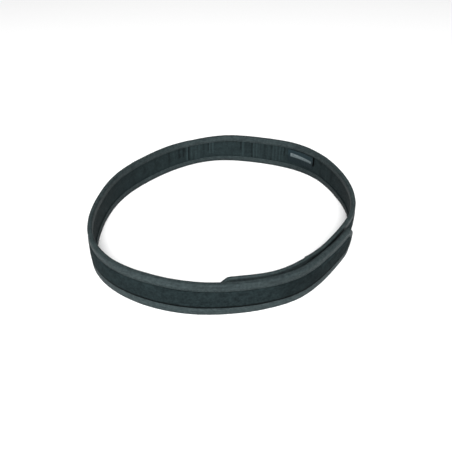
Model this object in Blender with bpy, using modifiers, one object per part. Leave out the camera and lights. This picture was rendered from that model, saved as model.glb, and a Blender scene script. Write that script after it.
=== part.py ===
"""Inner duty belt, closed in a loop by hook and loop and standing on its bottom edge.

Every piece is a flat textile: it is laid out flat in strap coordinates (along the strap, up
across its width, out from its mid-surface), bent round the loop by place() and then given
its thickness by Solidify. Metres, +Z up, origin under the middle of the box round the belt.
"""
from collections import namedtuple
import math

import bmesh
import bpy
import numpy as np

MM = 0.001

# The strap
WIDTH = 38 * MM
CLIP = 12 * MM
GAP = 0.3 * MM
STATIONS = 85

# The layers, each with its middle's distance out from the strap's mid-surface
WEBBING_OUT = 0.5 * MM
WEBBING_THICK = 2.4 * MM
WEBBING_INSET = 2.2 * MM
PILE_OUT = 2.7 * MM
PILE_THICK = 1.4 * MM
PILE_ROUNDING = 0.5 * MM
LINING_OUT = -1.35 * MM
LINING_THICK = 0.7 * MM
RIB_SLOPE = 1.5 * MM
HOOK_OUT = -2.55 * MM
HOOK_THICK = 1.1 * MM
HOOK_LENGTH = 150 * MM
LABEL_OUT = -2.35 * MM
LABEL_THICK = 0.6 * MM
LABEL_LENGTH = 40 * MM
LABEL_HEIGHT = 18 * MM
LABEL_ANGLE = 49

# The folded edge tape, and the thinner tail end that the lining stops short of
TAPE_THICK = 1.0 * MM
LINING_START_ANGLE = -53
TAIL_SQUEEZE = 0.6
TAPE_STEP = 1 * MM

# How the strap runs. Each row is a place along it:
# angle, in degrees round the loop, anticlockwise from +X seen from above; the tail is at -94
# radius, in mm, from the loop's middle to the strap's mid-surface at half its height
# lean, in mm, how far its top edge stands out past its bottom edge
Bend = namedtuple("Bend", "angle radius lean")
BENDS = (
    Bend(-94, 139.8, -2.0),
    Bend(-82, 138.5, -2.0),
    Bend(-70, 139.4, -1.0),
    Bend(-56, 138.2, -1.0),
    Bend(-40, 137.2, 0.5),
    Bend(-26, 138.7, 2.5),
    Bend(-12, 145.8, 2.5),
    Bend(4, 152.2, -1.0),
    Bend(22, 155.4, 0.0),
    Bend(40, 159.6, 0.5),
    Bend(54, 158.2, 3.0),
    Bend(66, 154.0, 2.0),
    Bend(80, 152.2, 1.5),
    Bend(92, 151.7, -0.5),
    Bend(104, 148.5, -2.5),
    Bend(118, 144.8, -0.5),
    Bend(136, 141.5, 0.0),
    Bend(156, 143.8, 0.5),
    Bend(176, 147.1, 0.5),
    Bend(194, 154.5, 1.5),
    Bend(210, 161.9, -1.0),
    Bend(226, 161.0, -2.5),
    Bend(242, 155.4, -4.5),
    Bend(256, 151.7, -3.5),
    Bend(270, 148.5, -2.3),
    Bend(286, 147.7, -1.2),
    Bend(302, 148.0, -0.2),
    Bend(316, 145.0, 0.3),
    Bend(329, 145.6, 1.5),
    Bend(341, 149.3, 2.3),
)

# Where the lining is gathered: from and to an angle, how many ribs, and how high in mm
Gather = namedtuple("Gather", "first last ribs height")
GATHERS = (
    Gather(58, 76, 12, 0.7),
    Gather(96, 115, 4, 0.9),
    Gather(122, 150, 9, 0.4),
)

# The folded tape's section. Each row is a corner of its middle line:
# inward, in mm from the strap's edge; out, in mm from the strap's mid-surface
Corner = namedtuple("Corner", "inward out")
TAPE_SECTION = (
    Corner(8.5, 2.5),
    Corner(2.0, 2.5),
    Corner(0.9, 2.0),
    Corner(0.5, 1.0),
    Corner(0.5, -1.0),
    Corner(0.9, -2.0),
    Corner(2.0, -2.5),
    Corner(7.5, -2.5),
)


def smooth_curve(places, values):
    """The natural cubic spline through the values, as a function of the place."""
    places = np.array(places, float)
    values = np.array(values, float)
    steps = np.diff(places)
    slopes = np.diff(values) / steps
    system = np.eye(len(places))
    right_side = np.zeros(len(places))
    for i in range(1, len(places) - 1):
        system[i, i - 1:i + 2] = steps[i - 1], 2 * (steps[i - 1] + steps[i]), steps[i]
        right_side[i] = 6 * (slopes[i] - slopes[i - 1])
    bends = np.linalg.solve(system, right_side)

    def value_at(place):
        i = np.clip(np.searchsorted(places, place) - 1, 0, len(steps) - 1)
        before = place - places[i]
        after = places[i + 1] - place
        step = steps[i]
        cubic = (bends[i] * after ** 3 + bends[i + 1] * before ** 3) / (6 * step)
        line = (values[i] / step - bends[i] * step / 6) * after
        return cubic + line + (values[i + 1] / step - bends[i + 1] * step / 6) * before

    return value_at


class Path:
    """The strap's mid-surface, as straight stretches between evenly spaced stations."""

    def __init__(self):
        angles = [bend.angle for bend in BENDS]
        radius_at = smooth_curve(angles, [bend.radius * MM for bend in BENDS])
        lean_at = smooth_curve(angles, [bend.lean * MM for bend in BENDS])
        self.fine_angles = np.linspace(angles[0], angles[-1], 3000)
        turn = np.radians(self.fine_angles)
        radius = radius_at(self.fine_angles)
        x = radius * np.cos(turn)
        y = radius * np.sin(turn)
        self.fine_along = np.concatenate([[0], np.cumsum(np.hypot(np.diff(x), np.diff(y)))])
        self.length = self.fine_along[-1]
        self.along = np.linspace(0, self.length, STATIONS)
        heading = np.arctan2(np.gradient(y), np.gradient(x))
        facing = np.unwrap(heading) - math.pi / 2
        self.x = np.interp(self.along, self.fine_along, x)
        self.y = np.interp(self.along, self.fine_along, y)
        self.facing = np.interp(self.along, self.fine_along, facing)
        angle = np.interp(self.along, self.fine_along, self.fine_angles)
        self.lean = lean_at(angle)

    def along_at(self, angle):
        return float(np.interp(angle, self.fine_angles, self.fine_along))

    def place(self, along, up, out):
        """A point of the flat layout, bent round the loop."""
        x = np.interp(along, self.along, self.x)
        y = np.interp(along, self.along, self.y)
        facing_x = np.interp(along, self.along, np.cos(self.facing))
        facing_y = np.interp(along, self.along, np.sin(self.facing))
        lean = np.interp(along, self.along, self.lean)
        out = out + lean * (up / WIDTH - 0.5)
        return x + facing_x * out, y + facing_y * out, up


FIELD_INSET = TAPE_SECTION[0].inward * MM + GAP
PATH = Path()
LINING_START = PATH.along_at(LINING_START_ANGLE)
TAPE_STEPS = (LINING_START - TAPE_STEP, LINING_START + TAPE_STEP)


def textile(name, color, roughness):
    material = bpy.data.materials.new(name)
    material.use_nodes = True
    shader = material.node_tree.nodes["Principled BSDF"]
    shader.inputs["Base Color"].default_value = (*color, 1)
    shader.inputs["Roughness"].default_value = roughness
    shader.inputs["Metallic"].default_value = 0
    material.diffuse_color = (*color, 1)
    return material


def sheet(name, material, flat, thickness, rounding=0):
    """A grid of flat points (column, row, along-up-out), bent round the loop and thickened."""
    columns, rows = flat.shape[:2]
    grid = bmesh.new()
    bmesh.ops.create_grid(grid, x_segments=columns - 1, y_segments=rows - 1, size=0.5)
    for vertex in grid.verts:
        column = round((vertex.co.x + 0.5) * (columns - 1))
        row = round((vertex.co.y + 0.5) * (rows - 1))
        vertex.co = PATH.place(*flat[column, row])
    mesh = bpy.data.meshes.new(name)
    grid.to_mesh(mesh)
    grid.free()
    mesh.materials.append(material)
    mesh.shade_smooth()
    mesh.set_sharp_from_angle(angle=math.radians(35))
    piece = bpy.data.objects.new(name, mesh)
    thicken = piece.modifiers.new("thickness", "SOLIDIFY")
    thicken.thickness = thickness
    thicken.offset = 0
    thicken.use_even_offset = True
    if rounding:
        round_off = piece.modifiers.new("rounded edges", "BEVEL")
        round_off.width = rounding
        round_off.segments = 1
        round_off.limit_method = "ANGLE"
        round_off.angle_limit = math.radians(60)
    return piece


def columns_between(first, last, extra=(), clear=MM):
    """The places along the strap where a piece has a column of points: its two ends, the
    stations that lie clear of them, and the extra ones."""
    inside = [along for along in PATH.along if first + clear < along < last - clear]
    extra = [along for along in extra if first < along < last]
    return np.array(sorted({first, last, *inside, *extra}))


def clipped_edge(along, inset):
    """Height of a layer's lower edge, inset from the strap's outline and its clipped corners."""
    corner = CLIP + inset * math.sqrt(2)
    from_end = np.minimum(along, PATH.length - along)
    return np.maximum(inset, corner - from_end)


def panel(name, material, first, last, inset, out, thickness, rounding=0):
    """A flat panel whose outline follows the strap's own, inset from it."""
    turn = CLIP + inset * (math.sqrt(2) - 1)
    columns = columns_between(first, last, (turn, PATH.length - turn))
    low = clipped_edge(columns, inset)
    flat = np.zeros((len(columns), 2, 3))
    flat[:, :, 0] = columns[:, None]
    flat[:, 0, 1] = low
    flat[:, 1, 1] = WIDTH - low
    flat[:, :, 2] = out
    return sheet(name, material, flat, thickness, rounding)


def make_webbing():
    material = textile("black stiff webbing", (0.011, 0.014, 0.015), 0.75)
    inset = WEBBING_INSET
    return panel("webbing_core", material, inset, PATH.length - inset, inset, WEBBING_OUT, WEBBING_THICK)


def make_pile():
    material = textile("black loop pile", (0.010, 0.015, 0.016), 0.95)
    inset = FIELD_INSET
    last = PATH.length - inset
    return panel("loop_field", material, inset, last, inset, PILE_OUT, PILE_THICK, PILE_ROUNDING)


def make_hook_patch():
    material = textile("black hook panel", (0.008, 0.010, 0.011), 0.80)
    last = PATH.length - FIELD_INSET
    first = PATH.length - HOOK_LENGTH
    return panel("hook_patch", material, first, last, FIELD_INSET, HOOK_OUT, HOOK_THICK)


def make_label():
    material = textile("black woven label", (0.009, 0.012, 0.014), 0.60)
    middle = PATH.along_at(LABEL_ANGLE)
    first = middle - LABEL_LENGTH / 2
    last = middle + LABEL_LENGTH / 2
    inset = (WIDTH - LABEL_HEIGHT) / 2
    return panel("label", material, first, last, inset, LABEL_OUT, LABEL_THICK)


def rib_columns():
    """Feet and crests of the lining's ribs: where each is along the strap, and its height."""
    heights = {}
    for gather in GATHERS:
        first = PATH.along_at(gather.first)
        last = PATH.along_at(gather.last)
        for i, along in enumerate(np.linspace(first, last, 2 * gather.ribs + 1)):
            heights[along] = gather.height * MM * (i % 2)
    return heights


def make_lining():
    """The lining runs under both edge tapes and stands up in ribs between them."""
    material = textile("black woven lining", (0.016, 0.022, 0.023), 0.85)
    heights = rib_columns()
    inset = WEBBING_INSET
    turn = PATH.length - CLIP - inset * (math.sqrt(2) - 1)
    columns = columns_between(LINING_START + TAPE_STEP + GAP, PATH.length - inset, (turn, *heights))
    places = sorted(heights)
    rise = np.interp(columns, places, [heights[along] for along in places], left=0, right=0)
    low = clipped_edge(columns, inset)
    foot = np.maximum(low, FIELD_INSET)
    heights_up = [low, foot, foot + RIB_SLOPE]
    heights_up += [WIDTH - height for height in reversed(heights_up)]
    flat = np.zeros((len(columns), len(heights_up), 3))
    flat[:, :, 0] = columns[:, None]
    flat[:, :, 1] = np.stack(heights_up, axis=1)
    flat[:, :, 2] = LINING_OUT
    flat[:, 2:4, 2] -= rise[:, None]
    return sheet("lining", material, flat, LINING_THICK)


def fold_tape(name, material, edge):
    """Edge tape folded over a run of the strap's edge. Each row of edge is (along, up, inward
    direction along, inward direction up)."""
    flat = np.zeros((len(edge), len(TAPE_SECTION), 3))
    for column, (along, up, inward_along, inward_up) in enumerate(edge):
        squeeze = np.interp(along, TAPE_STEPS, (TAIL_SQUEEZE, 1))
        for row, corner in enumerate(TAPE_SECTION):
            inward = corner.inward * MM
            out = corner.out * MM
            if out < 0:
                out *= squeeze
            flat[column, row] = along + inward_along * inward, up + inward_up * inward, out
    return sheet(name, material, flat, TAPE_THICK)


def make_edge_tapes():
    """One tape along each long edge and one round each clipped end, mitred where they meet."""
    material = textile("grey-black edge tape", (0.027, 0.034, 0.036), 0.60)
    mitre = math.tan(math.radians(22.5))
    columns = columns_between(CLIP + GAP, PATH.length - CLIP - GAP, TAPE_STEPS, FIELD_INSET)
    slant = np.zeros(len(columns))
    slant[0] = mitre
    slant[-1] = -mitre
    flat = np.ones(len(columns))
    bottom = np.stack([columns, 0 * flat, slant, flat], axis=1)
    top = np.stack([columns, WIDTH * flat, slant, -flat], axis=1)
    tail = np.array([
        (CLIP, 0, mitre, 1),
        (0, CLIP, 1, mitre),
        (0, WIDTH - CLIP, 1, -mitre),
        (CLIP, WIDTH, mitre, -1),
    ])
    outer = tail * (-1, 1, -1, 1) + (PATH.length, 0, 0, 0)
    return [
        fold_tape("top_binding", material, top),
        fold_tape("bottom_binding", material, bottom),
        fold_tape("tail_end_binding", material, tail),
        fold_tape("outer_end_binding", material, outer),
    ]


def stand_on_origin(pieces):
    """Move every piece alike, so that the origin is under the middle of the belt's box."""
    depsgraph = bpy.context.evaluated_depsgraph_get()
    corners = np.array([corner for piece in pieces for corner in piece.evaluated_get(depsgraph).bound_box])
    low = corners.min(axis=0)
    high = corners.max(axis=0)
    middle = (low + high) / 2
    for piece in pieces:
        piece.location = (-middle[0], -middle[1], -low[2])


for old in list(bpy.data.objects):
    bpy.data.objects.remove(old)
collection = bpy.data.collections.new("tactical_belt")
bpy.context.scene.collection.children.link(collection)
pieces = [make_webbing(), make_pile(), make_lining(), make_hook_patch(), make_label(), *make_edge_tapes()]
for piece in pieces:
    collection.objects.link(piece)
bpy.context.view_layer.update()
stand_on_origin(pieces)
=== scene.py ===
"""The finish of a black inner duty belt, closed by hook and loop and standing on its edge."""
import math
from collections import namedtuple

import bpy
import numpy as np
from mathutils import Matrix, Vector


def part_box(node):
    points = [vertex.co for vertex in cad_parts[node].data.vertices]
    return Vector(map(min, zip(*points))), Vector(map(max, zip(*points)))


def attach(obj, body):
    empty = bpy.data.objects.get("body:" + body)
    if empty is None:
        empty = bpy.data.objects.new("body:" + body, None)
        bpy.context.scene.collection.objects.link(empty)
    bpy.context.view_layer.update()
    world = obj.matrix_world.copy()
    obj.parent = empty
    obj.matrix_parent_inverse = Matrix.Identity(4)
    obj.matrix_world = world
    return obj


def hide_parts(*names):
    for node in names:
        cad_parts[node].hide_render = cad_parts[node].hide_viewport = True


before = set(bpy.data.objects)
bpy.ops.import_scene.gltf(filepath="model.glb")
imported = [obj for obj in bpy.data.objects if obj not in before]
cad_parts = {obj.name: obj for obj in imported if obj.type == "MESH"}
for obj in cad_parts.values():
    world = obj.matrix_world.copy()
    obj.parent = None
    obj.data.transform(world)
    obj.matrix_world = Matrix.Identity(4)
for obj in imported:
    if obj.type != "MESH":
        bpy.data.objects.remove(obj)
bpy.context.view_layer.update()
MM = 0.001

# The strap's run
# The belt is one long stiff strap, closed in a loop with its outer end lapped over its tail.
# It is bent by wear, so it stands a little out of round and leans in and out along its way.
# Each row gives the angle round the loop in degrees, the radius and the top edge's lean in mm,
# and the share of its usual 6 mm that the strap is thick there. Radii and leans come from a
# least-squares fit to the belt's edges in the photo, rounded. The radii were then scaled by
# 0.925, and the rows near both ends changed.
WIDTH = 38 * MM
CLIP = 12 * MM
Bend = namedtuple("Bend", "angle radius lean share")
BENDS = (
    Bend(-94, 139.8, -2.0, 0.80),
    Bend(-82, 138.5, -2.0, 0.80),
    Bend(-70, 139.4, -1.0, 0.80),
    Bend(-56, 138.2, -1.0, 0.72),
    Bend(-40, 137.2, 0.5, 0.70),
    Bend(-26, 138.7, 2.5, 0.75),
    Bend(-12, 145.8, 2.5, 0.90),
    Bend(4, 152.2, -1.0, 0.95),
    Bend(22, 155.4, 0.0, 1.00),
    Bend(40, 159.6, 0.5, 1.00),
    Bend(54, 158.2, 3.0, 1.00),
    Bend(66, 154.0, 2.0, 1.00),
    Bend(80, 152.2, 1.5, 1.00),
    Bend(92, 151.7, -0.5, 1.00),
    Bend(104, 148.5, -2.5, 1.00),
    Bend(118, 144.8, -0.5, 1.00),
    Bend(136, 141.5, 0.0, 1.00),
    Bend(156, 143.8, 0.5, 0.97),
    Bend(176, 147.1, 0.5, 0.93),
    Bend(194, 154.5, 1.5, 0.93),
    Bend(210, 161.9, -1.0, 1.00),
    Bend(226, 161.0, -2.5, 1.05),
    Bend(242, 155.4, -4.5, 1.08),
    Bend(256, 151.7, -3.5, 1.08),
    Bend(270, 148.5, -2.3, 1.10),
    Bend(286, 147.7, -1.2, 1.20),
    Bend(302, 148.0, -0.2, 1.20),
    Bend(316, 145.0, 0.3, 1.12),
    Bend(329, 145.6, 1.5, 1.05),
    Bend(341, 149.3, 2.3, 1.00),
)


def smooth_curve(places, values, wanted):
    """The natural cubic spline through the values: its second derivatives solve a banded
    system, and each stretch is the cubic that has them at its two ends."""
    places, values = np.array(places, float), np.array(values, float)
    steps = np.diff(places)
    slopes = np.diff(values) / steps
    inner = np.arange(1, len(places) - 1)
    system = np.eye(len(places))
    system[inner, inner - 1] = steps[:-1]
    system[inner, inner] = 2 * (steps[:-1] + steps[1:])
    system[inner, inner + 1] = steps[1:]
    curls = np.linalg.solve(system, np.concatenate([[0], 6 * np.diff(slopes), [0]]))
    i = np.clip(np.searchsorted(places, wanted) - 1, 0, len(steps) - 1)
    before, after, step = wanted - places[i], places[i + 1] - wanted, steps[i]
    cubic = (curls[i] * after ** 3 + curls[i + 1] * before ** 3) / (6 * step)
    start = (values[i] / step - curls[i] * step / 6) * after
    return cubic + start + (values[i + 1] / step - curls[i + 1] * step / 6) * before


class Run:
    """The strap's mid-surface, looked up by the distance along it from the tail's tip."""

    angle = np.linspace(BENDS[0].angle, BENDS[-1].angle, 8000)
    radius = smooth_curve([b.angle for b in BENDS], [b.radius * MM for b in BENDS], angle)
    lean = smooth_curve([b.angle for b in BENDS], [b.lean * MM for b in BENDS], angle)
    share = np.interp(angle, [b.angle for b in BENDS], [b.share for b in BENDS])
    x = radius * np.cos(np.radians(angle))
    y = radius * np.sin(np.radians(angle))
    along = np.concatenate([[0], np.cumsum(np.hypot(np.diff(x), np.diff(y)))])
    facing = np.unwrap(np.arctan2(np.gradient(y), np.gradient(x))) - math.pi / 2
    length = along[-1]
    shift = np.zeros(3)


def bend(along, up, out):
    """Flat layout to loop: a point goes to its place along the run, then out along the run's
    facing direction by out plus the lean at its height."""
    facing = np.interp(along, Run.along, Run.facing)
    out = out * np.interp(along, Run.along, Run.share)
    out = out + np.interp(along, Run.along, Run.lean) * (up / WIDTH - 0.5)
    x = np.interp(along, Run.along, Run.x) + np.cos(facing) * out
    y = np.interp(along, Run.along, Run.y) + np.sin(facing) * out
    return np.stack(np.broadcast_arrays(x, y, up), axis=-1) + Run.shift


def along_at(angle):
    return float(np.interp(angle, Run.angle, Run.along))


def settle_run(node, inset, lowest_out, highest_out):
    """Shift the run so that a layer of known thickness fills the CAD node's box."""
    along = np.linspace(inset, Run.length - inset, 4000)[:, None, None]
    up = np.array([inset, WIDTH - inset])[:, None]
    edges = bend(along, up, np.array([lowest_out, highest_out])).reshape(-1, 3)
    low, high = (np.array(corner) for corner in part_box(node))
    shift = (low + high) / 2 - (edges.min(axis=0) + edges.max(axis=0)) / 2
    Run.shift = shift * (1, 1, 0)


# The stiff webbing inside: how far it lies in from the strap's edges, and its two faces
CORE_INSET = 2.2 * MM
CORE_IN = -0.7 * MM
CORE_OUT = 1.7 * MM
settle_run("webbing_core", CORE_INSET, CORE_IN, CORE_OUT)


def lumps(seed, size, *places):
    """Smooth random heights from -1 to 1: random numbers on a square lattice of this size,
    mixed between lattice points by the smoothstep of the place's fraction."""
    lattice = np.random.default_rng(seed).uniform(-1, 1, (64, 64))
    first, second = (np.asarray(place) / size for place in (*places, 0.0)[:2])
    i, j = np.floor(first).astype(int), np.floor(second).astype(int)
    u, v = first - i, second - j
    u, v = u * u * (3 - 2 * u), v * v * (3 - 2 * v)

    def corner(down, right):
        return lattice[(i + down + 7 * (j // 64)) % 64, (j + right + 11 * (i // 64)) % 64]

    near = corner(0, 0) * (1 - v) + corner(0, 1) * v
    return near * (1 - u) + (corner(1, 0) * (1 - v) + corner(1, 1) * v) * u


def textile_skin(name, layout, pattern, material, slot, *nodes):
    """A closed skin from rings of flat points (ring, point, along-up-out): each ring is bent
    round the loop, neighbours are joined by quads, and the first and last are capped. The
    pattern array rides along as the attribute that the material reads."""
    rings, around = layout.shape[:2]
    points = bend(layout[..., 0], layout[..., 1], layout[..., 2]).reshape(-1, 3)
    index = np.arange(rings * around).reshape(rings, around)
    after = np.roll(index, -1, axis=1)
    quads = np.stack([index[:-1], index[1:], after[1:], after[:-1]], axis=-1).reshape(-1, 4)
    mesh = bpy.data.meshes.new(name)
    faces = quads.tolist() + [index[0].tolist(), index[-1][::-1].tolist()]
    mesh.from_pydata(points.tolist(), [], faces)
    return finish_piece(name, mesh, pattern, material, slot, *nodes)


def finish_piece(name, mesh, pattern, material, slot, *nodes):
    strap = mesh.attributes.new("strap", "FLOAT_VECTOR", "POINT")
    strap.data.foreach_set("vector", np.asarray(pattern, np.float32).ravel())
    mesh.shade_smooth()
    mesh.set_sharp_from_angle(angle=math.radians(50))
    mesh.materials.append(material)
    piece = bpy.data.objects.new(name, mesh)
    bpy.context.scene.collection.objects.link(piece)
    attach(piece, "root")
    if nodes:
        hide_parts(*nodes)
    return piece


class Dye:
    """One output socket of a material's nodes. Arithmetic on it adds Math nodes."""

    def __init__(self, tree, socket):
        self.tree = tree
        self.socket = socket

    def node(self, kind, settings, inputs, output=0):
        """Add a node, apply its settings, then link or fill its input sockets."""
        made = self.tree.nodes.new(kind)
        for key, value in settings.items():
            if key == "stops":
                while len(made.color_ramp.elements) < len(value):
                    made.color_ramp.elements.new(1)
                for stop, (place, level) in zip(made.color_ramp.elements, value):
                    stop.position = place
                    stop.color = (level, level, level, 1)
            else:
                setattr(made, key, value)
        for key, value in inputs.items():
            if isinstance(value, Dye):
                self.tree.links.new(value.socket, made.inputs[key])
            else:
                made.inputs[key].default_value = value
        return Dye(self.tree, made.outputs[output])

    def math(self, operation, *values):
        return self.node("ShaderNodeMath", {"operation": operation}, dict(enumerate(values)))

    def __add__(self, other):
        return self.math("ADD", self, other)

    def __sub__(self, other):
        return self.math("SUBTRACT", self, other)

    def __rsub__(self, other):
        return self.math("SUBTRACT", other, self)

    def __mul__(self, other):
        return self.math("MULTIPLY", self, other)

    __radd__ = __add__
    __rmul__ = __mul__

    def wave(self, pitch):
        """A sine of this pitch, from -1 to 1, of a length in metres."""
        return self.math("SINE", self * (2 * math.pi / pitch))

    def band(self, low, high, soft):
        """1 between the two values, falling to 0 over the soft width at each side."""
        inside = self.math("SMOOTH_MIN", (self - low) * (1 / soft), (high - self) * (1 / soft), 0.1)
        return self.node("ShaderNodeClamp", {}, {0: inside})

    def noise(self, size, detail):
        """Noise from 0 to 1 over this vector, with lumps of this size in metres."""
        inputs = {"Vector": self, "Scale": 1 / size, "Detail": detail, "Roughness": 0.6}
        return self.node("ShaderNodeTexNoise", {}, inputs)

    def ramp(self, *stops):
        return self.node("ShaderNodeValToRGB", {"stops": stops}, {0: self})

    def between(self, dark, light):
        """The colour mixed from dark to light by this value."""
        inputs = {0: self, 6: (*dark, 1), 7: (*light, 1)}
        return self.node("ShaderNodeMix", {"data_type": "RGBA"}, inputs, 2)

    def shaded(self, strength):
        """This colour times a strength."""
        return self.node("ShaderNodeVectorMath", {"operation": "SCALE"}, {0: self, "Scale": strength})

    def profile(self, *stops):
        """A value up to 2 read off a line through (length in mm, value) points, at this length."""
        reach = stops[-1][0] * MM
        line = (self * (1 / reach)).ramp(*((place * MM / reach, level / 2) for place, level in stops))
        return line * 2


# The tint of every cloth's faint gloss, a little less red than white
SHEEN = (0.8, 0.98, 1, 1)


def textile(name, paint, roughness, gloss):
    """A cloth material. paint is a function of the strap pattern (vector, along, across, mark)
    that gives a colour and a height in metres for the bump."""
    material = bpy.data.materials.new(name)
    material.use_nodes = True
    tree = material.node_tree
    shader = tree.nodes["Principled BSDF"]
    start = Dye(tree, None)
    pattern = start.node("ShaderNodeAttribute", {"attribute_name": "strap"}, {}, 1)
    parts = [start.node("ShaderNodeSeparateXYZ", {}, {0: pattern}, i) for i in range(3)]
    color, height = paint(pattern, *parts)
    inputs = {"Height": height, "Strength": 1.0, "Distance": 1.0}
    bump = start.node("ShaderNodeBump", {}, inputs)
    tree.links.new(color.socket, shader.inputs["Base Color"])
    tree.links.new(bump.socket, shader.inputs["Normal"])
    shader.inputs["Roughness"].default_value = roughness
    shader.inputs["Metallic"].default_value = 0
    shader.inputs["Specular IOR Level"].default_value = gloss
    shader.inputs["Specular Tint"].default_value = SHEEN
    return material


# Edge tape
# Ribbed nylon tape, 1 mm thick, folded over the strap's edges and lockstitched down near its
# own two edges. One length runs along each long side and one round each clipped end.
TAPE_THICK = 1.0 * MM
TAPE_LEG = 7.5 * MM
# How much longer the outer leg is than the inner one, on the top, bottom and end tapes
TOP_EXTRA = 0.7 * MM
LOW_EXTRA = 1.7 * MM
END_EXTRA = 1.1 * MM
TAPE_OUT = 2.5 * MM
FOLD_ROUND = 1.5 * MM
SEAM_FROM_EDGE = 1.6 * MM
STITCH_PITCH = 3.2 * MM
CORNER_ROUND = 2.5 * MM
# Where the lining stops near the tail, and how much of its depth the inner side keeps there
NOTCH = along_at(-53)
TAIL_SQUEEZE = 0.6
MITRE = math.tan(math.radians(22.5))
END = Run.length

# The outline's corners, anticlockwise seen from outside: where each is (along, up), and how
# far it moves for each metre that the outline is drawn inwards
CORNERS = np.array([
    (CLIP, 0), (END - CLIP, 0), (END, CLIP), (END, WIDTH - CLIP),
    (END - CLIP, WIDTH), (CLIP, WIDTH), (0, WIDTH - CLIP), (0, CLIP),
])
INWARD = np.array([
    (MITRE, 1), (-MITRE, 1), (-1, MITRE), (-1, -MITRE),
    (-MITRE, -1), (MITRE, -1), (1, -MITRE), (1, MITRE),
])
SIDES = np.linalg.norm(np.roll(CORNERS, -1, axis=0) - CORNERS, axis=1)
TURNS = np.concatenate([[0], np.cumsum(SIDES)])


def outline(way, inward):
    """The strap's outline drawn inwards: a closed polygon walked by the distance along its
    outer edge. Each corner is rounded by half the change of direction there times
    sqrt(x^2 + r^2) - |x|, where x is the distance from the corner."""
    way, inward = np.broadcast_arrays(way, inward)
    corners = CORNERS[:, None] + INWARD[:, None] * inward.reshape(1, -1, 1)
    speeds = (np.roll(corners, -1, axis=0) - corners) / SIDES[:, None, None]
    flat = way.ravel() % TURNS[-1]
    side = np.clip(np.searchsorted(TURNS, flat, side="right") - 1, 0, 7)
    pick = np.arange(flat.size)
    place = corners[side, pick] + speeds[side, pick] * (flat - TURNS[side])[:, None]
    for k in range(8):
        from_corner = (flat - TURNS[k] + TURNS[-1] / 2) % TURNS[-1] - TURNS[-1] / 2
        cut = np.sqrt(from_corner ** 2 + CORNER_ROUND ** 2) - np.abs(from_corner)
        place = place + (speeds[k] - speeds[k - 1]) * cut[:, None] / 2
    return place.reshape(*way.shape, 2)


def tape_section(across, extra):
    """The folded tape's middle line by the distance across it, from the outer leg's edge to
    the inner leg's: leg, quarter circle, flat, quarter circle, leg shorter by the extra. Gives
    how far it lies in from the strap's edge, how far out, its own facing direction in those
    two, and the tape's whole width."""
    flat = TAPE_OUT - FOLD_ROUND
    leg = TAPE_LEG - FOLD_ROUND - TAPE_THICK / 2
    arc = FOLD_ROUND * math.pi / 2
    half = leg + arc + flat
    from_middle = np.abs(across - half - extra)
    mirror = np.where(across < half + extra, 1, -1)
    turn = np.clip((from_middle - flat) / FOLD_ROUND, 0, math.pi / 2)
    inward = TAPE_THICK / 2 + FOLD_ROUND * (1 - np.cos(turn)) + np.maximum(from_middle - flat - arc, 0)
    out = mirror * (np.minimum(from_middle, flat) + FOLD_ROUND * np.sin(turn))
    return inward, out, -np.cos(turn), mirror * np.sin(turn), 2 * half + extra


def squeezed(along, out):
    """The tail end has no lining, so its inner side lies closer to the mid-surface: a smoothstep
    at the notch, with a low bell-shaped lip where the lining starts."""
    step = np.clip((along - NOTCH) / (3 * MM) + 0.5, 0, 1)
    step = step * step * (3 - 2 * step)
    lip = 0.2 * np.exp(-((along - NOTCH - 2.2 * MM) / (1.6 * MM)) ** 2)
    return np.where(out < 0, out * (TAIL_SQUEEZE + (1 - TAIL_SQUEEZE) * step + lip), out)


def edge_tape(name, node, first, last, extra, material):
    """Tape folded over the outline from one distance along it to another: its section, given
    a skin on both sides that closes at the tape's own edges, carried along the outline. The
    outer skin rises in a bell-shaped crown on each leg, is pulled in along each seam, most at
    each stitch, and sways a little."""
    total = tape_section(np.zeros(1), extra)[-1]
    inset = TAPE_THICK / 2
    spread = total * (1 - np.cos(np.linspace(0, math.pi, 15))) / 2
    mid = np.linspace(inset, total - inset, 40)
    across = np.unique(np.concatenate([spread, mid]))
    edge = np.minimum(across, total - across)
    half = inset * np.sqrt(1 - (1 - np.minimum(edge / inset, 1)) ** 2)
    inside = across[1:-1:2]
    inside_half = np.interp(inside, across, half)
    ring = np.concatenate([across[::-1], inside])
    side = np.concatenate([half[::-1], -inside_half])
    way = np.arange(first + 0.1 * MM, last, 1.0 * MM)
    way = np.append(way[:-1], last - 0.1 * MM)[:, None]
    inward, out, facing_in, facing_out = tape_section(ring, extra)[:-1]
    from_edge = np.minimum(ring, total - ring)
    seam = np.exp(-((from_edge - SEAM_FROM_EDGE) / (0.5 * MM)) ** 2)
    pull = 0.20 * MM * seam * (0.75 + 0.25 * np.cos(2 * math.pi * way / STITCH_PITCH))
    crown = 0.12 * MM * np.exp(-((from_edge - 4.2 * MM) / (1.8 * MM)) ** 2)
    sway = 0.10 * MM * lumps(3, 11 * MM, way, ring * 2) + 0.06 * MM * lumps(4, 4 * MM, way, ring)
    away = side + np.where(side > 0, crown + sway - pull, 0)
    inward = inward + facing_in * away + 0.12 * MM * lumps(5, 26 * MM, way)
    out = out + facing_out * away
    place = outline(way, inward)
    layout = np.concatenate([place, squeezed(place[..., 0], out)[..., None]], axis=-1)
    pattern = np.stack(np.broadcast_arrays(way, ring, from_edge), axis=-1)
    return textile_skin(name, layout, pattern, material, "edge_tape", node)


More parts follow.
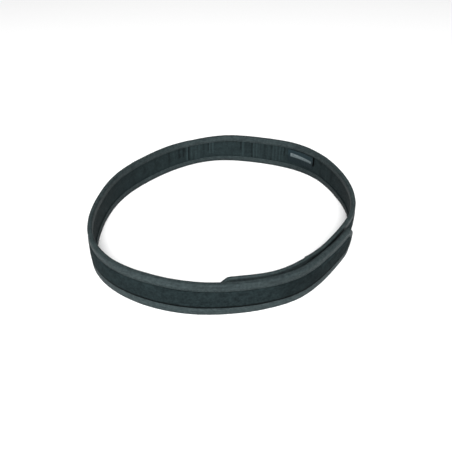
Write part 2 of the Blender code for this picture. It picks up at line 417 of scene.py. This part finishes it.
def tape_paint(shade_across, outer_dark, inner_dark):
    """Paint for a tape: fine cross ribs with warp threads over them, uneven dye, a darker
    stitched seam, painted shade that changes across the tape, and painted shade on stretches
    along its outer and its inner leg. The three tables are the points of a profile, as
    Dye.profile takes them."""
    def paint(vector, way, across, from_edge):
        ribs = way.wave(0.85 * MM)
        warps = across.wave(0.6 * MM)
        uneven = vector.noise(9 * MM, 3) * 0.35 + vector.noise(3.2 * MM, 3) * 0.65
        seam = from_edge.band(SEAM_FROM_EDGE - 0.6 * MM, SEAM_FROM_EDGE + 0.6 * MM, 0.5 * MM)
        tone = uneven + ribs * 0.05 - seam * 0.12
        color = tone.ramp((0.38, 0), (0.62, 1)).between(TAPE_DARK, TAPE_LIGHT)
        outer = across.band(-MM, OUTER_LEG_TO, LEG_SOFT)
        inner = across.band(INNER_LEG_FROM, 30 * MM, LEG_SOFT)
        height = (ribs * 0.05 + warps * 0.025 + uneven * 0.06) * MM
        # Painted shade across the tape: painted shadow of the pile along the outer leg's edge, and
        # darker on the fold
        color = color.shaded(across.profile(*shade_across))
        # Painted shade on stretches of each leg: painted shadow in the gap between the lapped ends, and
        # shade on the loop's inner sides
        light = 1 - outer * way.profile(*outer_dark) - inner * way.profile(*inner_dark)
        return color.shaded(light), height
    return paint


def top_way(angle):
    """How far along the outline a place on the top edge is, in mm."""
    return (TURNS[5] + CLIP - along_at(angle)) / MM


def low_way(angle):
    """The same for a place on the bottom edge."""
    return (along_at(angle) - CLIP) / MM


# How far across the tape the outer leg ends and the inner leg starts
OUTER_LEG_TO = 7.0 * MM
INNER_LEG_FROM = 10.5 * MM
LEG_SOFT = 1.2 * MM
TAPE_DARK = (0.0150, 0.0217, 0.0231)
TAPE_LIGHT = (0.0341, 0.0470, 0.0487)
# Painted shade across the tape, matched to the photo: mm from the outer leg's edge, and how
# light. It is darkest at the outer leg's edge, as painted shadow of the pile beside it, and
# darker on the tape's fold.
TOP_LEG = (
    (0, 0.60), (0.5, 0.72), (1.4, 0.93), (2.4, 1.04), (3.5, 1.08), (4.4, 1.03), (5.4, 0.93),
    (6.4, 0.86), (7.1, 0.90), (7.8, 0.93), (8.5, 0.90), (9.4, 1.0), (9.9, 1.05), (10.7, 0.83),
    (12.2, 0.95), (13.0, 1.0), (14.1, 1.07), (15.2, 1.14), (16.3, 1.06), (17.4, 0.96), (18.4, 0.9),
)
LOW_LEG = (
    (0, 0.35), (0.35, 0.9), (0.8, 1.35), (2.2, 1.22), (3.6, 1.0), (7.5, 0.95), (13.0, 0.62),
    (15.0, 0.75), (16.4, 0.88), (18.0, 1.0), (20, 1.0),
)
# Painted shade on stretches of the outer leg and of the inner leg, matched to the photo: the
# angle, and how much darker. The darkest is painted shadow where the tape lies in the gap
# between the lapped ends, and the inner leg is darker on the loop's inner sides, painted shade.
# From one photo such stretches can't be told from shading.
TOP_OUTER = tuple((top_way(angle), darker) for angle, darker in (
    (314, 0), (306, 0.18), (290, 0.18), (280, 0),
    (-22, 0), (-26, 0.66), (-51, 0.66), (-55, 0.24), (-90, 0.28),
))
TOP_INNER = tuple((top_way(angle), darker) for angle, darker in (
    (190, 0.22), (116, 0.22), (108, 0.03), (92, 0.03),
    (84, 0.09), (62, 0.12), (48, 0.28), (5, 0.28), (-5, 0.15),
))
LOW_INNER = tuple((low_way(angle), darker) for angle, darker in (
    (-5, 0), (5, 0.42), (32, 0.38), (48, 0.30),
    (60, 0), (138, 0), (150, 0.15), (180, 0.15), (195, 0),
))
# No darker stretch, over more than the outline's whole length in mm
EVEN = (0, 0), (3000, 0)
TAPE_ROUGH = 0.6
TAPE_GLOSS = 0.14
top_cloth = textile("edge tape, top", tape_paint(TOP_LEG, TOP_OUTER, TOP_INNER), TAPE_ROUGH, TAPE_GLOSS)
low_cloth = textile("edge tape, bottom", tape_paint(LOW_LEG, EVEN, LOW_INNER), TAPE_ROUGH, TAPE_GLOSS)
end_cloth = textile("edge tape, ends", tape_paint(TOP_LEG, EVEN, EVEN), TAPE_ROUGH, TAPE_GLOSS)
edge_tape("top_binding_tape", "top_binding", TURNS[4], TURNS[5], TOP_EXTRA, top_cloth)
edge_tape("bottom_binding_tape", "bottom_binding", TURNS[0], TURNS[1], LOW_EXTRA, low_cloth)
edge_tape("tail_end_tape", "tail_end_binding", TURNS[5], TURNS[8], END_EXTRA, end_cloth)
edge_tape("outer_end_tape", "outer_end_binding", TURNS[1], TURNS[4], END_EXTRA, end_cloth)


# Loop pile
# The wide field of brushed nylon loops on the strap's outer face, which the hooks grip. It
# stands proud of the tape, with soft rounded edges, and is matted here and there.
PILE_INSET = 9.3 * MM
PILE_TOP_INSET = 8.1 * MM
PILE_BACK = 1.95 * MM
PILE_TALL = 1.75 * MM
PILE_EDGE = 4 * MM
PILE_DARK = (0.0047, 0.0075, 0.0083)
PILE_LIGHT = (0.0141, 0.0221, 0.0237)
# Painted shade on the pile, matched to the photo: mm up from its lower edge to 4, its middle
# at 4, and on to its upper edge at 8, and how light. It is nearly black along the lower edge,
# painted shadow where the pile rounds under, and darker along the upper edge.
PILE_EDGE_SHADE = ((0, 0.05), (1.8, 0.10), (3.2, 0.85), (4, 1.0), (6.6, 1.0), (7.4, 0.85), (8, 0.55))


def clipped_edge(along, inset):
    """Height of a layer's lower edge, which follows the strap's clipped corners."""
    corner = CLIP + inset * math.sqrt(2)
    return np.maximum(inset, corner - np.minimum(along, END - along))


def pile_layout():
    """Across the field the pile's height follows sqrt(1 - w^12) below its middle and
    sqrt(1 - w^6) above it, with w from -1 to 1 and points gathered at the edges. Its surface is
    roughened by lumps of three sizes, and its edges are frayed. The pattern's third value is
    how far a point lies within the last 4 mm of the field, below 0 at the bottom and above 0
    at the top."""
    along = np.arange(PILE_INSET, END - PILE_INSET, 0.9 * MM)[:, None]
    w = np.sin(np.linspace(-1, 1, 37) * math.pi / 2)
    round_off = np.sqrt(1 - np.where(w < 0, np.abs(w) ** 12, np.abs(w) ** 6))
    from_end = np.minimum(along, END - along) - PILE_INSET
    ends = np.sqrt(1 - (1 - np.clip(from_end / (1.2 * MM), 0, 1)) ** 2)
    low = clipped_edge(along, PILE_INSET)
    high = WIDTH - clipped_edge(along, PILE_TOP_INSET)
    fray = 0.20 * MM * (lumps(11, 2.2 * MM, along, w * 3 * MM) + lumps(12, 7 * MM, along, w * 5 * MM))
    half = (high - low) / 2 + fray * np.abs(w) ** 4
    up = (low + high) / 2 + half * w
    rough = 0.09 * MM * lumps(13, 1.9 * MM, along, up) + 0.10 * MM * lumps(14, 6 * MM, along, up)
    rough = rough + 0.07 * MM * lumps(15, 30 * MM, along, up)
    tall = (PILE_TALL + rough) * round_off * np.maximum(ends, 0.05)
    back_up = (low + high) / 2 + (high - low) / 2 * np.linspace(1, -1, 6)[1:-1]
    all_up = np.concatenate([up, back_up], axis=1)
    out = np.concatenate([PILE_BACK + tall, np.full_like(back_up, PILE_BACK - 0.05 * MM)], axis=1)
    edge = np.clip(all_up - low, 0, PILE_EDGE) - np.clip(high - all_up, 0, PILE_EDGE)
    layout = np.stack(np.broadcast_arrays(along, all_up, out), axis=-1)
    pattern = np.stack(np.broadcast_arrays(along, all_up, edge), axis=-1)
    return layout, pattern


def pile_paint(vector, along, up, edge):
    """Matted nap: soft blotches and a fine speckle, and painted shade: nearly black along its lower
    edge, darker along its upper one, with the dark lower edge wider near the outer end, and
    darker from 289 to 313 degrees, where the outer end faces away from the light."""
    blotch = vector.noise(7 * MM, 3) * 0.5
    speckle = vector.noise(2.4 * MM, 3) * 0.5
    tone = blotch + speckle
    height = (vector.noise(0.45 * MM, 3) * 0.28 + vector.noise(1.4 * MM, 2) * 0.25) * MM
    # Painted shade along the pile's edges: nearly black along the lower edge, wider near the outer end,
    # and darker along the upper edge
    near_tip = along.band(along_at(303), END + 30 * MM, 20 * MM)
    lightness = (edge + PILE_EDGE - near_tip * (0.9 * MM)).profile(*PILE_EDGE_SHADE)
    # Painted shade from 289 to 313 degrees, where the outer end faces away from the light
    turned_away_shade = along.band(along_at(289), along_at(313), 14 * MM)
    color = tone.ramp((0.338, 0), (0.618, 1)).between(PILE_DARK, PILE_LIGHT)
    return color.shaded(lightness).shaded(1 - turned_away_shade * 0.30), height


pile_cloth = textile("brushed loop pile", pile_paint, 0.95, 0.06)
pile_points, pile_pattern = pile_layout()
textile_skin("loop_pile", pile_points, pile_pattern, pile_cloth, "loop_pile", "loop_field")


# Lining
# Woven cloth on the strap's inner face, caught under the tape on both edges. It was eased in
# when it was sewn, so at the back it stands in narrow ribs where the strap bends.
LINING_OUT = -1.0 * MM
LINING_THICK = 0.7 * MM
# Each crease: its angle, how high it stands in mm or is sunk where below 0, how wide it is in
# mm, and the part of the lining's height, from 0 to 1, over which it runs
Crease = namedtuple("Crease", "angle height wide low high")
CREASES = tuple(Crease(*row) for row in (
    (147.0, -0.12, 2.6, 0.1, 0.9), (142.5, 0.12, 2.2, 0.0, 0.8), (138.5, -0.14, 2.0, 0.3, 1.0),
    (134.8, 0.14, 1.8, 0.1, 0.9), (130.5, -0.16, 1.8, 0.2, 1.0), (126.0, 0.16, 1.6, 0.0, 0.9),
    (121.5, -0.25, 1.4, 0.2, 0.9), (118.6, 0.25, 1.4, 0.0, 1.0), (115.2, -0.45, 1.6, 0.4, 1.0),
    (112.6, -0.40, 1.5, 0.45, 1.0), (110.6, 0.65, 1.0, 0.0, 1.0), (109.6, -0.60, 0.9, 0.1, 1.0),
    (108.0, 0.30, 1.1, 0.0, 1.0), (105.6, 0.30, 1.2, 0.0, 0.9), (103.7, 0.26, 1.2, 0.1, 1.0),
    (101.2, -0.22, 1.2, 0.2, 1.0), (98.6, -0.60, 0.8, 0.5, 1.0), (97.8, 0.60, 0.8, 0.3, 1.0),
    (96.1, 0.50, 1.0, 0.25, 1.0), (81.2, -0.60, 0.9, 0.5, 1.0), (80.0, 0.50, 1.0, 0.0, 1.0),
    (78.4, -0.10, 1.4, 0.0, 1.0), (76.6, -0.10, 1.6, 0.0, 1.0), (75.3, -0.45, 1.0, 0.0, 1.0),
    (74.3, 0.60, 0.9, 0.0, 1.0), (72.7, 0.45, 0.9, 0.0, 1.0), (71.4, 0.22, 1.0, 0.0, 1.0),
    (70.0, 0.22, 1.0, 0.0, 1.0), (68.4, -0.25, 1.2, 0.2, 1.0), (66.4, 0.20, 1.1, 0.0, 0.9),
    (64.9, -0.22, 1.0, 0.0, 0.9), (63.9, 0.45, 0.9, 0.0, 1.0), (62.3, 0.42, 0.9, 0.0, 1.0),
    (60.5, 0.45, 0.9, 0.0, 1.0), (59.0, 0.42, 0.9, 0.1, 1.0), (58.2, -0.55, 1.0, 0.5, 1.0),
    (36.5, -0.22, 1.8, 0.1, 0.9), (32.0, 0.20, 1.6, 0.0, 0.9), (27.5, -0.22, 1.8, 0.2, 1.0),
))
# Painted shade on the lining, matched to the photo: lightest at the back and darker on the
# loop's inner sides, where less light reaches. The angle, turned into mm along the strap, and
# how light
LINING_SHADE = tuple((along_at(angle) / MM, light) for angle, light in (
    (-53, 0.68), (30, 0.66), (46, 0.70), (56, 0.80), (84, 0.92), (90, 1.0), (106, 0.96),
    (120, 0.79), (200, 0.72), (341, 0.75),
))
LINING_DARK = (0.0032, 0.0054, 0.0061)
LINING_LIGHT = (0.0255, 0.0397, 0.0422)
# The smooth panel at the back: its two ends in degrees, and the heights of its two seams
PANEL = (82.5, 95.5)
UPPER_SEAM = (29.3 * MM, 30.6 * MM)
LOWER_SEAM = (26.0 * MM, 26.7 * MM)


def crease_heights(along, share):
    """Each crease is a bell curve across its line, faded in and out over its run."""
    heights = np.zeros(np.broadcast(along, share).shape)
    for crease in CREASES:
        bell = np.exp(-((along - along_at(crease.angle)) / (crease.wide * MM)) ** 2)
        start = np.clip((share - crease.low) / 0.12 + 1, 0, 1)
        stop = np.clip((crease.high - share) / 0.12 + 1, 0, 1)
        heights = heights + crease.height * MM * bell * start * stop
    return heights


def lining_layout():
    """A thin sheet from edge to edge of the strap, pushed inwards by its creases between the
    tapes. The pattern's third value is the crease's own height."""
    along = np.arange(NOTCH + 1.3 * MM, END - CORE_INSET, 0.8 * MM)[:, None]
    low = clipped_edge(along, CORE_INSET)
    share = np.concatenate([[0, 0.16], np.linspace(0.19, 0.81, 24), [0.84, 1]])
    up = WIDTH / 2 + (WIDTH / 2 - low) * (2 * share - 1)
    wander = along + 0.3 * MM * lumps(22, 9 * MM, up, along)
    clear = np.clip((np.minimum(up, WIDTH - up) - 7.2 * MM) / (1.2 * MM), 0, 1)
    ribs = crease_heights(wander, (up - 7.5 * MM) / (WIDTH - 15 * MM)) * clear
    slack = 0.10 * MM * lumps(23, 5 * MM, along, up) + 0.12 * MM * lumps(24, 16 * MM, along, up)
    rise = ribs + slack * clear
    back_up = WIDTH / 2 + (WIDTH / 2 - low) * np.array([-0.9, -0.3, 0.3, 0.9])
    all_up = np.concatenate([back_up, up[:, ::-1]], axis=1)
    front_out = LINING_OUT - LINING_THICK - rise[:, ::-1]
    out = np.concatenate([np.full_like(back_up, LINING_OUT), front_out], axis=1)
    crest = np.concatenate([np.zeros_like(back_up), ribs[:, ::-1]], axis=1)
    layout = np.stack(np.broadcast_arrays(along, all_up, out), axis=-1)
    pattern = np.stack(np.broadcast_arrays(along, all_up, crest), axis=-1)
    return layout, pattern


def lining_paint(vector, along, up, crest):
    """Plain weave, uneven dye, creases lighter along their crests and painted shade where they are
    sunk, two seams that end the smooth panel under the top tape at the back, and painted shade
    on the loop's inner sides."""
    weave = along.wave(0.9 * MM) * up.wave(0.9 * MM)
    uneven = vector.noise(7 * MM, 3) * 0.5 + vector.noise(2.2 * MM, 3) * 0.5
    panel = along.band(*map(along_at, PANEL), 2 * MM)
    seams = up.band(*UPPER_SEAM, 0.5 * MM) + up.band(*LOWER_SEAM, 0.5 * MM) * 0.5
    # Crests lighter, and painted shade in the sunk creases
    tone = uneven + weave * 0.036 + crest * (0.55 / MM) - panel * seams * 0.32
    height = (weave * 0.06 + vector.noise(0.7 * MM, 2) * 0.12) * MM
    color = tone.ramp((0.173, 0), (0.863, 1)).between(LINING_DARK, LINING_LIGHT)
    # Painted shade: lightest at the back, darker on the loop's inner sides
    return color.shaded(along.profile(*LINING_SHADE)), height


lining_cloth = textile("woven lining", lining_paint, 0.8, 0.08)
lining_points, lining_pattern = lining_layout()
textile_skin("lining_sheet", lining_points, lining_pattern, lining_cloth, "lining_cloth", "lining")


# Webbing and hook panel
# The stiff webbing between the layers, seen bare inside the tail end, and the stiff panel of
# nylon hooks sewn to the inner face of the outer end, which the loop pile holds.
def plain_layout(first, last, inset, low_out, high_out):
    """A flat layer with rounded edges: a ring of the two faces at each place along it."""
    along = np.arange(first, last, 2 * MM)[:, None]
    low = clipped_edge(along, inset)
    w = np.sin(np.linspace(-1, 1, 11) * math.pi / 2)
    bulge = np.sqrt(1 - np.abs(w) ** 10)
    middle, half = (low_out + high_out) / 2, (high_out - low_out) / 2
    up = WIDTH / 2 + (WIDTH / 2 - low) * np.concatenate([w, w[-2:0:-1]])
    out = middle + half * np.concatenate([bulge, -bulge[-2:0:-1]])
    return np.stack(np.broadcast_arrays(along, up, out), axis=-1)


def webbing_paint(vector, along, up, out):
    """Coarse twill: ribs on the slant, with uneven dye."""
    twill = (along + up).wave(1.6 * MM)
    uneven = vector.noise(6 * MM, 3)
    tone = uneven + twill * 0.12
    color = tone.ramp((0.3, 0), (0.8, 1)).between((0.006, 0.008, 0.009), (0.016, 0.020, 0.021))
    return color, twill * (0.08 * MM)


def hook_paint(vector, along, up, out):
    """Rows of tiny stiff hooks."""
    rows = along.wave(1.2 * MM) * up.wave(1.2 * MM)
    uneven = vector.noise(5 * MM, 2)
    tone = uneven + rows * 0.2
    color = tone.ramp((0.3, 0), (0.8, 1)).between((0.004, 0.005, 0.006), (0.012, 0.014, 0.015))
    return color, rows * (0.2 * MM)


webbing_cloth = textile("stiff webbing", webbing_paint, 0.75, 0.1)
core_points = plain_layout(CORE_INSET, END - CORE_INSET, CORE_INSET, CORE_IN, CORE_OUT)
textile_skin("webbing", core_points, core_points, webbing_cloth, "webbing", "webbing_core")
hook_cloth = textile("hook panel", hook_paint, 0.7, 0.1)
HOOK_FROM_END = 150 * MM
HOOK_INSET = 7.8 * MM
hook_points = plain_layout(END - HOOK_FROM_END, END - HOOK_INSET, HOOK_INSET, -3.3 * MM, -2.0 * MM)
textile_skin("hook_panel", hook_points, hook_points, hook_cloth, "hook_panel", "hook_patch")


# Label
# A small woven satin tag sewn flat to the lining, its left end folded under and its right end
# held by a bar tack, a dense bar of black thread, its colour near black as painted shadow of
# the gap at the label's end. It bears one plain pale stripe.
LABEL_MIDDLE = along_at(49)
LABEL_LONG = 40 * MM
LABEL_TALL = 18 * MM
LABEL_UP = 20 * MM
# The stripe: how far its narrow end lies from the label's middle, how long it is, how high it
# starts, how much it climbs and widens for each metre along, and its narrow half width
STRIPE_START = 17.5 * MM
STRIPE_LONG = 34 * MM
STRIPE_UP = 20.2 * MM
STRIPE_CLIMB = 0.05
STRIPE_TAPER = 0.028
STRIPE_HALF = 1.95 * MM
TACK_WIDE = 2.6 * MM
TACK_TALL = 12.5 * MM
TACK_UP = 23.1 * MM


def label_layout():
    """A thin sheet whose face rises to a rounded fold at one end and is nearly flat at the
    other, with its long edges slightly curled."""
    columns = 75
    along = np.linspace(-1, 1, columns)[:, None]
    w = np.linspace(-1, 1, 21)
    fold = np.exp(-((along - 0.96) / 0.05) ** 2) * 0.5 * MM
    curl = 0.12 * MM * w ** 6 + 0.10 * MM * lumps(31, 0.4, along, w)
    face = -2.35 * MM - fold - curl
    place = LABEL_MIDDLE + along * LABEL_LONG / 2 * (1 - 0.006 * w ** 2)
    up = LABEL_UP + w * LABEL_TALL / 2
    back_up = LABEL_UP + np.array([-0.98, 0.98]) * LABEL_TALL / 2
    all_up = np.concatenate([back_up, up[::-1]])
    out = np.concatenate([np.full((columns, 2), -1.95 * MM), face[:, ::-1]], axis=1)
    place = np.concatenate([place[:, :2], place[:, ::-1]], axis=1)
    return np.stack(np.broadcast_arrays(place, all_up, out), axis=-1)


def label_paint(vector, along, up, out):
    """Dark satin weave with one plain pale stripe that tapers to one end and is rubbed thin."""
    from_end = along - (LABEL_MIDDLE - STRIPE_START)
    from_line = up.math("ABSOLUTE", up - from_end * STRIPE_CLIMB - STRIPE_UP)
    inside = (from_end * STRIPE_TAPER + STRIPE_HALF - from_line).band(0, 1, 0.7 * MM)
    lightness = vector.noise(1.8 * MM, 3).ramp((0.32, 0.45), (0.55, 1))
    stripe = inside * from_end.band(0, STRIPE_LONG, 0.8 * MM) * lightness
    weave = along.wave(0.5 * MM) * up.wave(0.5 * MM)
    cloth = up.profile((11, 0.75), (18, 0.85), (23, 1.5), (29, 1.6))
    color = stripe.between((0.0060, 0.0116, 0.0143), (0.080, 0.098, 0.103)).shaded(cloth)
    return color, weave * (0.04 * MM)


def tack_layout():
    """A low bar across the strap. Its height follows sqrt(1 - w^4) across it and sqrt(1 - u^8)
    along it, with a small cosine for the wraps of thread."""
    rows = 31
    up = np.linspace(-1, 1, rows)[:, None]
    w = np.linspace(-1, 1, 9)
    round_off = np.sqrt(1 - np.abs(up) ** 8) * np.sqrt(1 - w ** 4)
    wraps = 0.06 * MM * np.cos(up * math.pi * 15)
    place = LABEL_MIDDLE - LABEL_LONG / 2 - 1.2 * MM + w * TACK_WIDE / 2
    front = -2.3 * MM - (0.5 * MM + wraps) * round_off
    back = np.full((rows, 2), -2.1 * MM)
    out = np.concatenate([front, back], axis=1)
    place = np.concatenate([place, place[[7, 1]]])
    return np.stack(np.broadcast_arrays(place, TACK_UP + up * TACK_TALL / 2, out), axis=-1)


def tack_paint(vector, along, up, out):
    """Black satin stitch: close threads across the bar, near black as painted shadow of the gap at
    the label's end.
    """
    threads = up.wave(0.45 * MM)
    # Near black: painted shadow of the gap at the label's end
    color = vector.noise(2 * MM, 2).between((0.0008, 0.0009, 0.0010), (0.0016, 0.0019, 0.0020))
    return color, threads * (0.05 * MM)


label_cloth = textile("woven label", label_paint, 0.5, 0.12)
label_points = label_layout()
textile_skin("label_tag", label_points, label_points, label_cloth, "label_cloth", "label")
tack_thread = textile("bar tack in painted shadow", tack_paint, 0.9, 0.02)
tack_points = tack_layout()
textile_skin("label_bar_tack", tack_points, tack_points, tack_thread, "label_cloth")


# Stitches
# The lockstitch that holds the tape down: one row near each of its edges, all round the strap
# on both faces, each stitch a short thread sunk at both ends.
THREAD_THICK = 0.5 * MM
STITCH_LONG = 2.5 * MM


def stitch_row(name, way, inward, out, material):
    """A spindle for each stitch: two poles and three rings of six points, laid along the
    outline from one stitch hole to the next and bulging out of the face."""
    ahead = outline(way + STITCH_LONG / 2, inward)
    behind = outline(way - STITCH_LONG / 2, inward)
    middle = (ahead + behind) / 2
    levels = squeezed(middle[:, 0], np.full(len(way), out))
    ends = [bend(place[:, 0], place[:, 1], levels) for place in (behind, ahead)]
    centre = (ends[0] + ends[1]) / 2
    forward = ends[1] - ends[0]
    forward /= np.linalg.norm(forward, axis=1, keepdims=True)
    raised = bend(middle[:, 0], middle[:, 1], levels + math.copysign(MM, out))
    lift = raised - bend(middle[:, 0], middle[:, 1], levels)
    lift /= np.linalg.norm(lift, axis=1, keepdims=True)
    beside = np.cross(forward, lift)
    turn = np.arange(6) * math.pi / 3
    radius = THREAD_THICK / 2
    reach = STITCH_LONG / 2
    sunk = -0.6 * radius
    shape = [(-reach, 0, sunk), (reach, 0, sunk)]
    for step, wide in ((-0.55, 0.85), (0, 1), (0.55, 0.85)):
        arch = radius * 0.5 * (1 - abs(step))
        for angle in turn:
            raise_by = wide * radius * math.sin(angle) + arch
            shape.append((step * reach, wide * radius * math.cos(angle), raise_by))
    shape = np.array(shape)
    points = (centre[:, None] + forward[:, None] * shape[:, :1]
              + beside[:, None] * shape[:, 1:2] + lift[:, None] * shape[:, 2:3])
    ring = np.arange(6)
    after = (ring + 1) % 6
    faces = [(0, 2 + a, 2 + b) for a, b in zip(after, ring)]
    faces += [(1, 14 + a, 14 + b) for a, b in zip(ring, after)]
    for base in (2, 8):
        faces += [(base + a, base + b, base + 6 + b, base + 6 + a) for a, b in zip(ring, after)]
    mesh = bpy.data.meshes.new(name)
    steps = np.arange(len(way)) * len(shape)
    every = [tuple(int(i + step) for i in face) for step in steps for face in faces]
    mesh.from_pydata(points.reshape(-1, 3).tolist(), [], every)
    pattern = np.stack(np.broadcast_arrays(way[:, None], shape[:, 1], shape[:, 2]), axis=-1)
    return finish_piece(name, mesh, pattern, material, "edge_tape")


def thread_paint(vector, along, across, out):
    """Bonded nylon thread, twisted, a little lighter than the tape."""
    twist = (along + across).wave(0.45 * MM)
    tone = vector.noise(4 * MM, 2) + twist * 0.1
    color = tone.ramp((0.3, 0), (0.8, 1)).between((0.018, 0.023, 0.024), (0.045, 0.055, 0.057))
    return color, twist * (0.03 * MM)


thread = textile("sewing thread", thread_paint, 0.5, 0.15)
stitch_ways = np.arange(0.5 * STITCH_PITCH, TURNS[-1] - 0.5 * STITCH_PITCH, STITCH_PITCH)
inner_seam = TAPE_LEG - SEAM_FROM_EDGE
sides = np.searchsorted(TURNS, stitch_ways, side="right") - 1
outer_seam = inner_seam + np.array([LOW_EXTRA, *[END_EXTRA] * 3, TOP_EXTRA, *[END_EXTRA] * 3])[sides]
face_out = TAPE_OUT + TAPE_THICK / 2
stitch_row("outer_face_stitches", stitch_ways, outer_seam, face_out - 0.06 * MM, thread)
stitch_row("inner_face_stitches", stitch_ways, inner_seam, -face_out + 0.06 * MM, thread)


# Floor, light and camera
# A white table under a large soft light from the front and above, as in a catalogue picture.
def pale_floor():
    mesh = bpy.data.meshes.new("floor")
    half = 6.0
    corners = [(-half, -half, 0), (half, -half, 0), (half, half, 0), (-half, half, 0)]
    mesh.from_pydata(corners, [], [(0, 1, 2, 3)])
    material = bpy.data.materials.new("white table")
    material.use_nodes = True
    shader = material.node_tree.nodes["Principled BSDF"]
    shader.inputs["Base Color"].default_value = (0.93, 0.93, 0.93, 1)
    shader.inputs["Roughness"].default_value = 0.6
    shader.inputs["Specular IOR Level"].default_value = 0.2
    mesh.materials.append(material)
    floor = bpy.data.objects.new("floor", mesh)
    bpy.context.scene.collection.objects.link(floor)


def soft_light(name, place, target, size, power):
    lamp = bpy.data.lights.new(name, "AREA")
    lamp.shape = "DISK"
    lamp.size = size
    lamp.energy = power
    holder = bpy.data.objects.new(name, lamp)
    holder.location = place
    aim = np.array(target) - np.array(place)
    holder.rotation_euler = look_along(aim, 0)
    bpy.context.scene.collection.objects.link(holder)


def look_along(direction, roll):
    """Turn that points an object's -Z along a direction with its +Y upwards, then rolls it."""
    turn = Vector(direction).to_track_quat("-Z", "Y").to_matrix()
    return (turn @ Matrix.Rotation(roll, 3, "Z")).to_euler()


# The camera was fitted to the belt's edges in the photo
ELEVATION = math.radians(37)
DISTANCE = 686.4 * MM
LENS = 47.5
ROLL = math.radians(-0.5)
AIM = np.array([1.55, -29.81, 19.46]) * MM + Run.shift
ROOM_LIGHT = 0.31

pale_floor()
soft_light("key", (0, -2.34, 2.52), target=(0, 0, 0), size=2.16, power=207)
soft_light("low light from the left", (-1.6, -0.7, 0.16), target=(0, 0, 0.02), size=0.5, power=7)
soft_light("low light from the right", (1.6, -0.9, 0.16), target=(0, 0, 0.02), size=0.5, power=2)
world = bpy.data.worlds.new("white room")
world.use_nodes = True
world.node_tree.nodes["Background"].inputs["Color"].default_value = (1, 1, 1, 1)
world.node_tree.nodes["Background"].inputs["Strength"].default_value = ROOM_LIGHT
bpy.context.scene.world = world
bpy.context.scene.view_settings.view_transform = "Standard"
camera = bpy.data.objects.new("camera", bpy.data.cameras.new("camera"))
camera.data.lens = LENS
back = np.array([0, -math.cos(ELEVATION), math.sin(ELEVATION)])
camera.location = AIM + back * DISTANCE
camera.rotation_euler = look_along(-back, ROLL)
bpy.context.scene.collection.objects.link(camera)
bpy.context.scene.camera = camera
